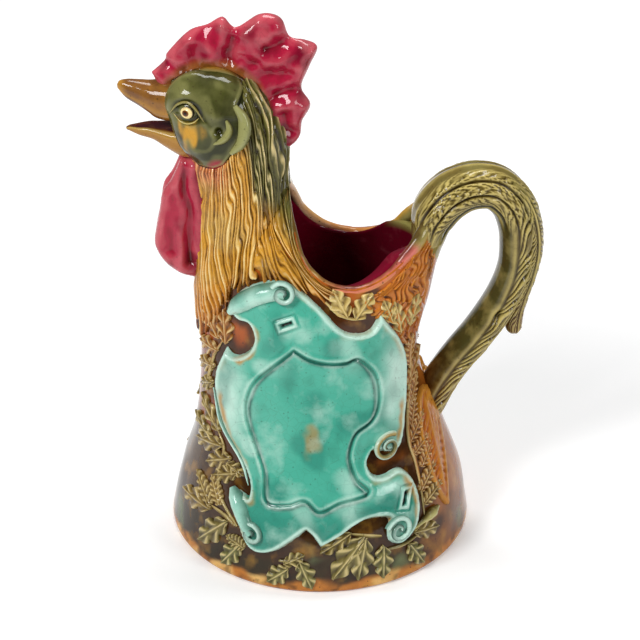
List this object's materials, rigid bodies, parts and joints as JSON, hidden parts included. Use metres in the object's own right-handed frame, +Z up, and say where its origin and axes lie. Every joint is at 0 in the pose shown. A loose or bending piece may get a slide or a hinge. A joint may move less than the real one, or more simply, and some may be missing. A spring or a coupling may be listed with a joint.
{
  "type": "majolica pitcher",
  "caption": "Glazed majolica pitcher shaped as a crowing rooster: bell body with an open back, hollow neck that pours through the beak, and a tail looped into a handle.",
  "frame": {"origin": "centre of the round foot, on the surface that the pitcher stands on", "axes": "+Z up; the bird looks along -X and the handle is on +X; +Y is the bird's right flank"},
  "size_m": [0.2248, 0.1704, 0.3007],
  "materials": {
    "amber_glaze": "glossy amber lead glaze, dark in the hollows",
    "bisque_clay": "bare fired earthenware",
    "hackle_glaze": "glossy straw and honey glaze over combed feathers",
    "olive_glaze": "glossy olive glaze, ochre where it thins",
    "beak_glaze": "glossy horn brown glaze",
    "crimson_glaze": "glossy crimson glaze, pale on the ridges",
    "ivory_glaze": "glossy ivory glaze with a painted brown pupil",
    "tail_glaze": "glossy olive brown glaze, straw on the ridges",
    "turquoise_glaze": "glossy turquoise glaze, mint where it thins",
    "leaf_glaze": "glossy straw green glaze, brown in the veins"
  },
  "bodies": {
    "root": {"bell_body": "amber_glaze", "base_floor": "bisque_clay", "neck": "hackle_glaze", "head": "olive_glaze", "upper_beak": "beak_glaze", "lower_beak": "beak_glaze", "comb": "crimson_glaze", "handle": "tail_glaze", "tail_plume": "tail_glaze", "wattle_left": "crimson_glaze", "wattle_right": "crimson_glaze", "eye_left": "ivory_glaze", "eye_right": "ivory_glaze", "ear_lobe_left": "olive_glaze", "ear_lobe_right": "olive_glaze", "scroll_left": "turquoise_glaze", "scroll_right": "turquoise_glaze", "breast_spray_left": "leaf_glaze", "breast_spray_right": "leaf_glaze", "foot_spray_left": "leaf_glaze", "foot_spray_right": "leaf_glaze", "rim_spray_left": "leaf_glaze", "rim_spray_right": "leaf_glaze", "laurel_spray_left": "leaf_glaze", "laurel_spray_right": "leaf_glaze", "twig_spray_left": "leaf_glaze", "twig_spray_right": "leaf_glaze", "saddle_plume_left": "amber_glaze", "saddle_plume_right": "amber_glaze"}
  },
  "joints": []
}
